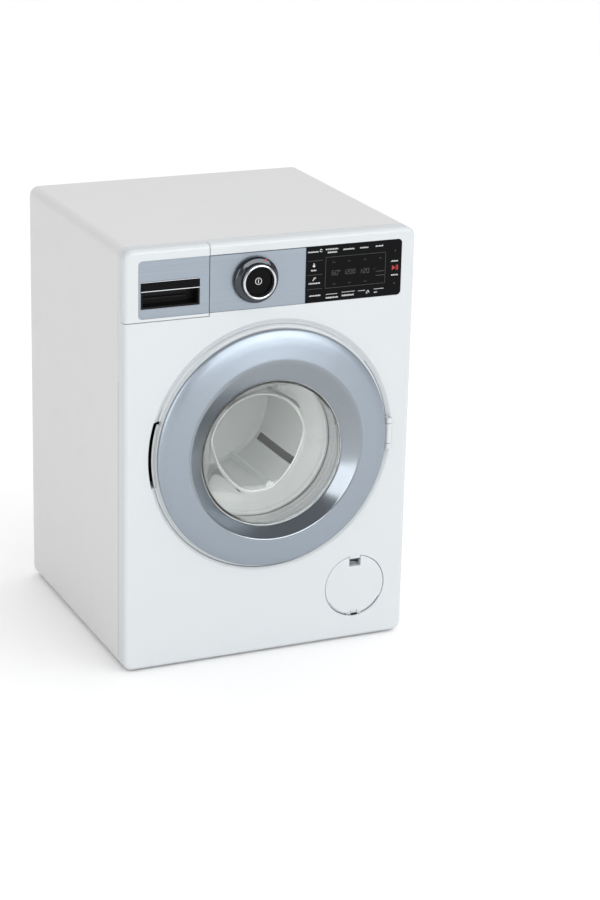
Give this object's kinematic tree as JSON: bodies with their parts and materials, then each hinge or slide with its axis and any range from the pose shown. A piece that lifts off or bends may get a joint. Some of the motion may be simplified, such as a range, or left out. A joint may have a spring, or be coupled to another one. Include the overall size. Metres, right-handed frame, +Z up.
{
  "type": "toy washing machine",
  "caption": "Front-loading toy washing machine for role play, with a hinged round door, turning drum, program knob with push button, pull-out drawer and service flap.",
  "frame": {"origin": "middle of the footprint, on the ground plane under the feet", "axes": "+Z up, -Y out of the front with the door, +X to the right as seen from the front"},
  "size_m": [0.184, 0.1799, 0.26],
  "materials": {
    "cabinet_plastic": "fine satin moulded surface, light neutral grey",
    "white_panel": "smooth semi-gloss, cool white",
    "silver_paint": "silver paint, satin to glossy",
    "silver_panel": "silver blue film with a fine horizontal grain",
    "clear_plastic": "clear, see-through, polished",
    "drum_plastic": "smooth light grey",
    "tub_plastic": "dark grey moulded surface",
    "seal_rubber": "soft light grey",
    "foot_rubber": "dark grey, matt",
    "black_gloss": "polished black",
    "black_plastic": "matt black",
    "knob_grey": "dark grey satin",
    "chrome_trim": "bright plated trim",
    "dark_chrome": "darker plated ring",
    "red_print": "red",
    "white_print": "white",
    "screw_steel": "plated steel",
    "bush_brass": "turned",
    "gear_nylon": "natural nylon",
    "board_green": "coated circuit board",
    "battery_wrap": "printed sleeve without text",
    "speaker_paper": "black cone",
    "lamp_amber": "tinted lamp"
  },
  "bodies": {
    "cabinet_body": {"cabinet": "cabinet_plastic", "front_panel": "white_panel", "back_cover": "cabinet_plastic", "rubber_feet": "foot_rubber", "hinge_pin": "screw_steel", "catch_keeper": "black_plastic", "door_seal": "seal_rubber", "tub": "tub_plastic", "tub_screws": "screw_steel", "drum_bush": "bush_brass", "rear_bush": "bush_brass", "idler_axle": "screw_steel", "gearbox_plate": "tub_plastic", "gearbox_screws": "screw_steel", "motor_can": "screw_steel", "motor_cap": "black_plastic", "knob_panel": "silver_panel", "rotary_switch": "black_plastic", "push_switch": "black_plastic", "display_window": "black_gloss", "display_lamps": "lamp_amber", "control_board": "board_green", "board_parts": "black_plastic", "board_screws": "screw_steel", "drawer_housing": "cabinet_plastic", "flap_pin": "screw_steel", "service_recess": "tub_plastic", "speaker_frame": "black_plastic", "speaker_cone": "speaker_paper", "battery_box": "black_plastic", "battery_cells": "battery_wrap", "battery_springs": "screw_steel", "battery_door": "cabinet_plastic", "cover_screws": "screw_steel"},
    "door": {"door_frame": "white_panel", "door_ring": "silver_paint", "door_glass": "clear_plastic", "door_screws": "screw_steel"},
    "drum_body": {"drum": "drum_plastic", "drum_shaft": "screw_steel", "drum_gear": "gear_nylon", "hub_screw": "screw_steel"},
    "idler": {"idler_gear": "gear_nylon"},
    "motor_rotor": {"motor_shaft": "screw_steel", "motor_pinion": "bush_brass"},
    "knob": {"knob_body": "knob_grey", "knob_base_ring": "dark_chrome", "knob_face_ring": "chrome_trim", "knob_marker": "red_print", "knob_clip": "screw_steel"},
    "button": {"power_button": "black_gloss", "power_symbol": "white_print"},
    "drawer": {"drawer_front": "white_panel", "drawer_inlay": "silver_panel", "handle_cup": "black_plastic", "handle_bar": "black_gloss", "handle_trim": "chrome_trim", "drawer_tray": "drum_plastic", "tray_screws": "screw_steel"},
    "flap": {"service_flap": "white_panel"}
  },
  "joints": [
    {"name": "door_swing", "type": "hinge", "parent": "cabinet_body", "child": "door", "pos_m": [0.078, -0.0828, 0.132], "axis": [0, 0, 1], "range_deg": [0, 115]},
    {"name": "drum_spin", "type": "hinge", "parent": "cabinet_body", "child": "drum_body", "pos_m": [0.0016, -0.022, 0.1285], "axis": [0, 1, 0], "continuous": true},
    {"name": "idler_spin", "type": "hinge", "parent": "cabinet_body", "child": "idler", "pos_m": [-0.01562, 0.036, 0.15832], "axis": [0, 1, 0], "continuous": true},
    {"name": "motor_spin", "type": "hinge", "parent": "cabinet_body", "child": "motor_rotor", "pos_m": [-0.00309, 0.04, 0.18002], "axis": [0, 1, 0], "continuous": true},
    {"name": "program_knob", "type": "hinge", "parent": "cabinet_body", "child": "knob", "pos_m": [-0.0112, -0.082, 0.2369], "axis": [0, 1, 0], "continuous": true},
    {"name": "power_press", "type": "slide", "parent": "cabinet_body", "child": "button", "axis": [0, 1, 0], "range_m": [0, 0.0012], "stiffness_N_per_m": 700, "springref_m": -0.0006},
    {"name": "drawer_slide", "type": "slide", "parent": "cabinet_body", "child": "drawer", "axis": [0, -1, 0], "range_m": [0, 0.058]},
    {"name": "flap_swing", "type": "hinge", "parent": "cabinet_body", "child": "flap", "pos_m": [0.0591, -0.08155, 0.0171], "axis": [1, 0, 0], "range_deg": [0, 90]}
  ],
  "couplings": [
    {"joint": "idler_spin", "follows": "drum_spin", "ratio": -4},
    {"joint": "motor_spin", "follows": "drum_spin", "ratio": 16}
  ]
}
